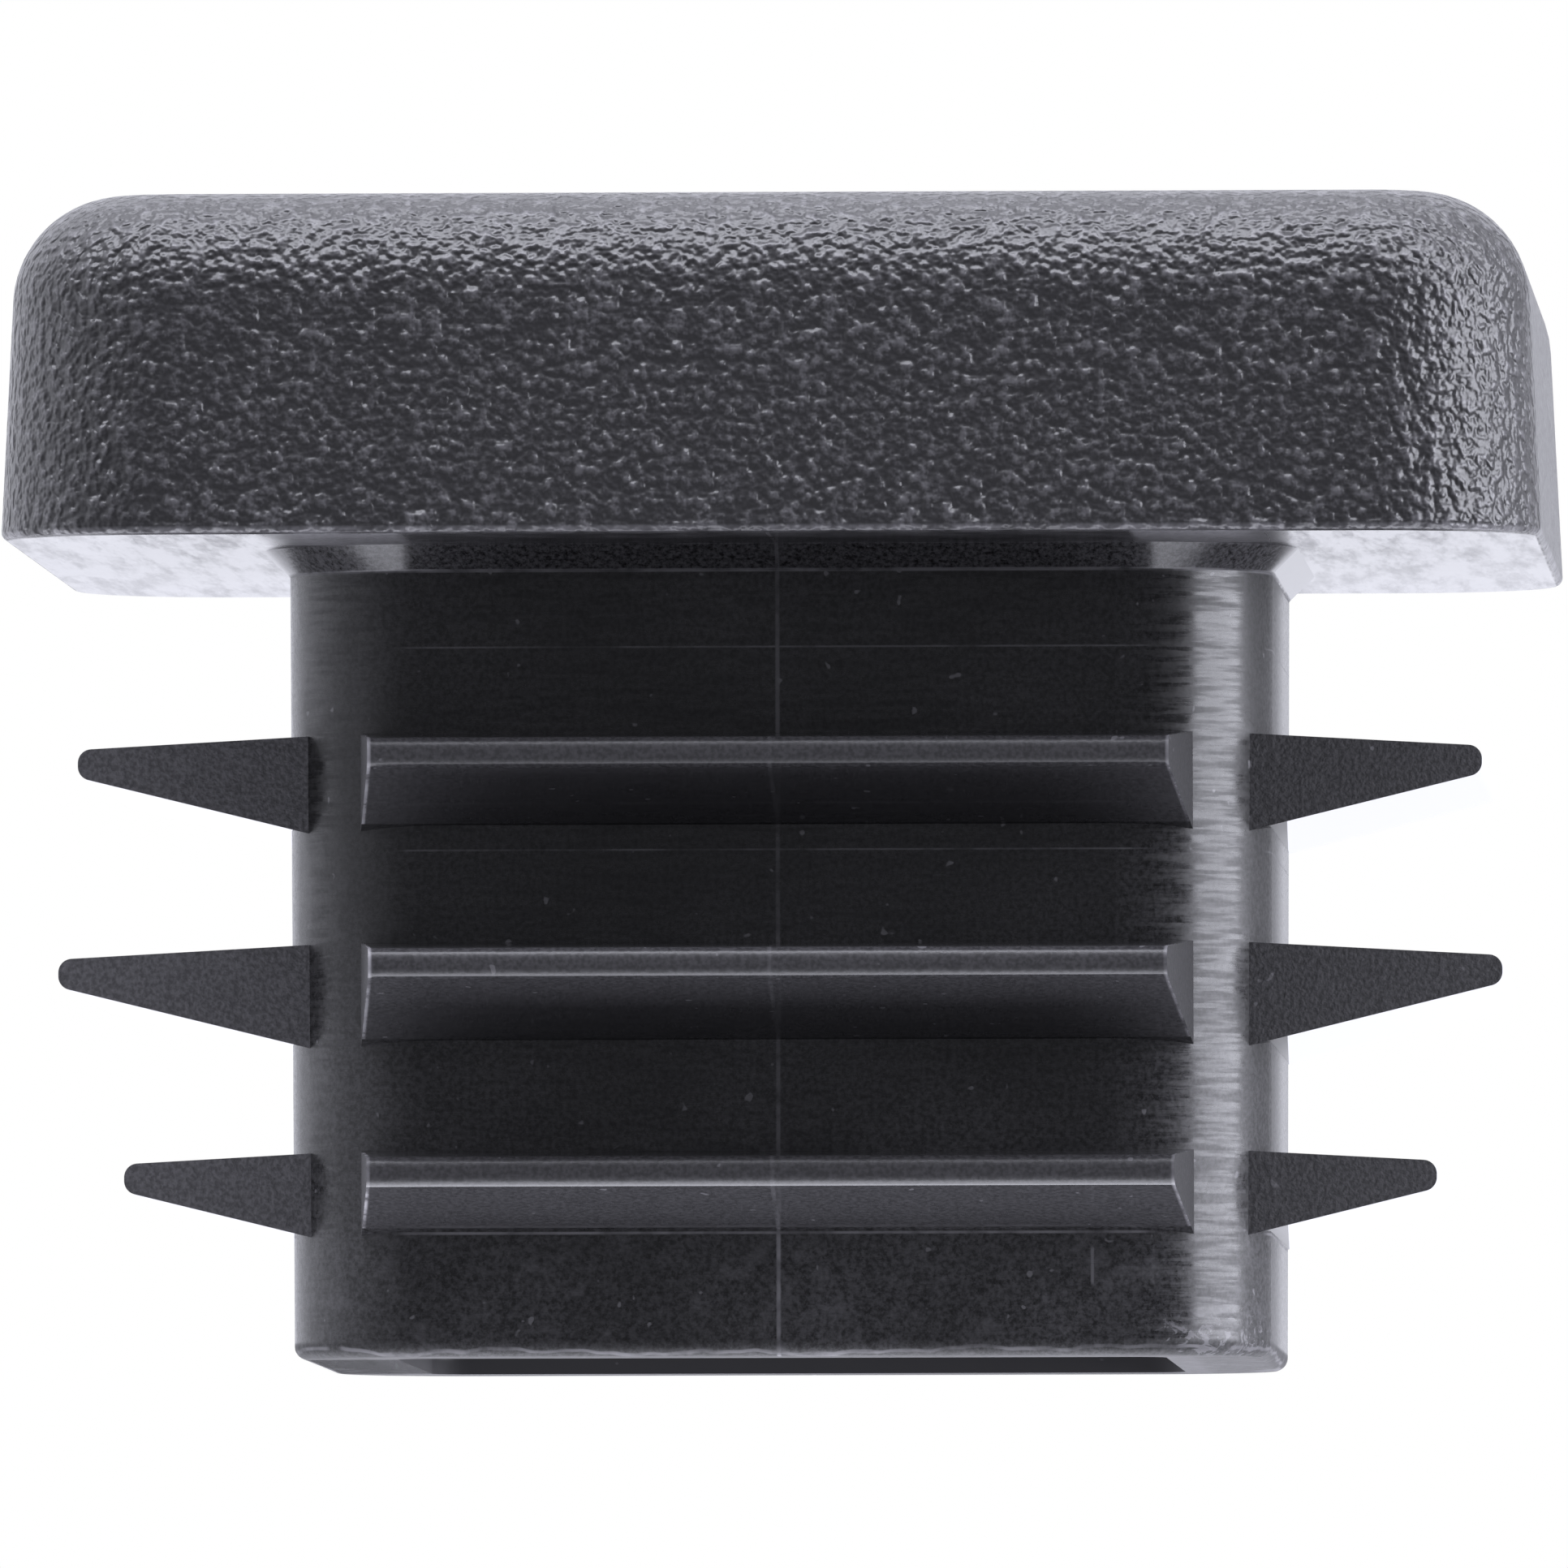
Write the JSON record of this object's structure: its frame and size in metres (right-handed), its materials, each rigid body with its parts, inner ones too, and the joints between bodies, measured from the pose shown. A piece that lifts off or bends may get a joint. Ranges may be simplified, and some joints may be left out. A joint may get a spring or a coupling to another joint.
{
  "type": "tube end cap",
  "caption": "Moulded plastic insert that closes the end of a square tube, with a square head, a hollow square stem and thin fins that grip the tube's inside.",
  "frame": {"origin": "centre of the stem's open end, the lowest plane of the cap", "axes": "+Z from the stem's open end to the head's crown, along the tube's axis; X and Y square to the head's sides"},
  "size_m": [0.025, 0.025, 0.0188],
  "materials": {
    "black_plastic": "black moulded plastic, fine spark-eroded grain on the head, smooth on the stem, the fins and the head's underside"
  },
  "bodies": {
    "root": {"end_cap": "black_plastic"}
  },
  "joints": []
}
